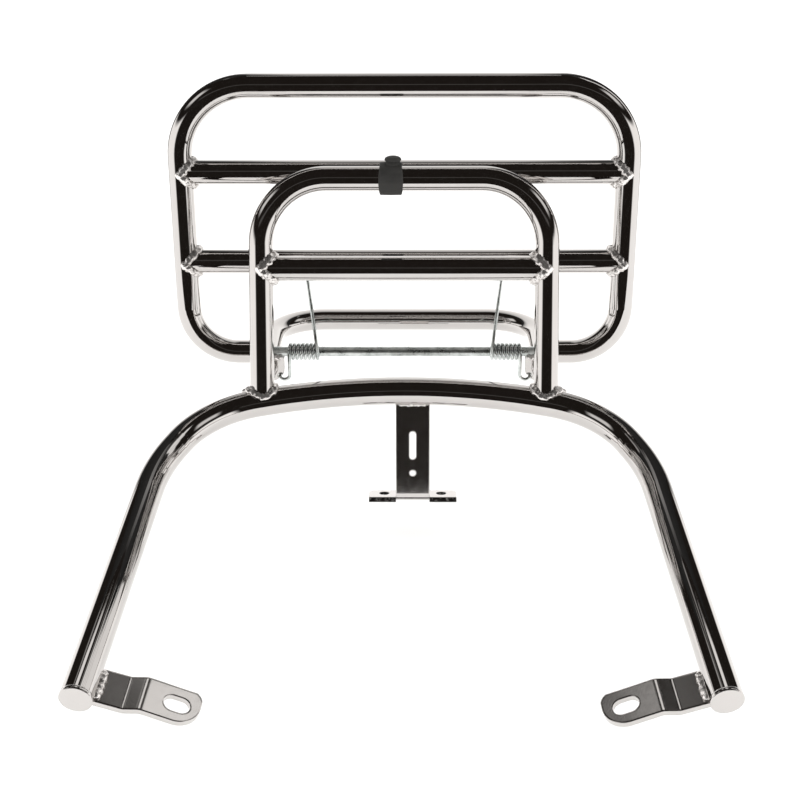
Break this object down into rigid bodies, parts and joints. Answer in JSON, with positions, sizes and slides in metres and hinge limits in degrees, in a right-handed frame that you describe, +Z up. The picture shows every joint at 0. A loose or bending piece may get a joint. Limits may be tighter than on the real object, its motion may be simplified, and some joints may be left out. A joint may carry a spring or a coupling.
{
  "type": "motor scooter luggage rack",
  "caption": "Tubular rear luggage rack with a base arch, upright hoop, horizontal support and a sprung platform that folds down over the support.",
  "frame": {"origin": "midpoint between the two side bolt slots near the ends of the arch's legs", "axes": "+X across the scooter to its right side, +Y towards its rear, +Z up; the platform is folded up at rest"},
  "size_m": [0.3158, 0.3639, 0.2529],
  "materials": {
    "chrome": "polished",
    "weld": "lumpy, plated",
    "zinc": "zinc plated",
    "spring_steel": "zinc plated wire",
    "rubber": "matt",
    "bush": "matt"
  },
  "bodies": {
    "frame": {"base_arch": "chrome", "end_cap_left": "chrome", "end_cap_right": "chrome", "side_bracket_left": "chrome", "side_bracket_right": "chrome", "centre_bracket": "chrome", "fixed_hoop": "chrome", "hoop_crossbar": "chrome", "support_hoop": "chrome", "spring_lug_left": "chrome", "spring_lug_right": "chrome", "hinge_rod": "zinc", "spring_left": "spring_steel", "spring_right": "spring_steel", "retaining_clip": "rubber", "clip_pin": "rubber", "hoop_foot_welds": "weld", "hoop_bar_welds": "weld", "support_welds": "weld", "rod_welds": "weld", "side_bracket_welds": "weld", "centre_bracket_weld": "weld"},
    "platform": {"platform_loop": "chrome", "lower_crossbar": "chrome", "upper_crossbar": "chrome", "hinge_bush_left": "bush", "hinge_bush_right": "bush", "platform_welds": "weld"}
  },
  "joints": [
    {"name": "platform_fold", "type": "hinge", "parent": "frame", "child": "platform", "pos_m": [0, 0.25815, 0.07816], "axis": [1, 0, 0], "range_deg": [-85.5, 0], "stiffness_Nm_per_rad": 1.7, "springref_deg": 11.46, "deforming": ["spring_left", "spring_right"]}
  ]
}
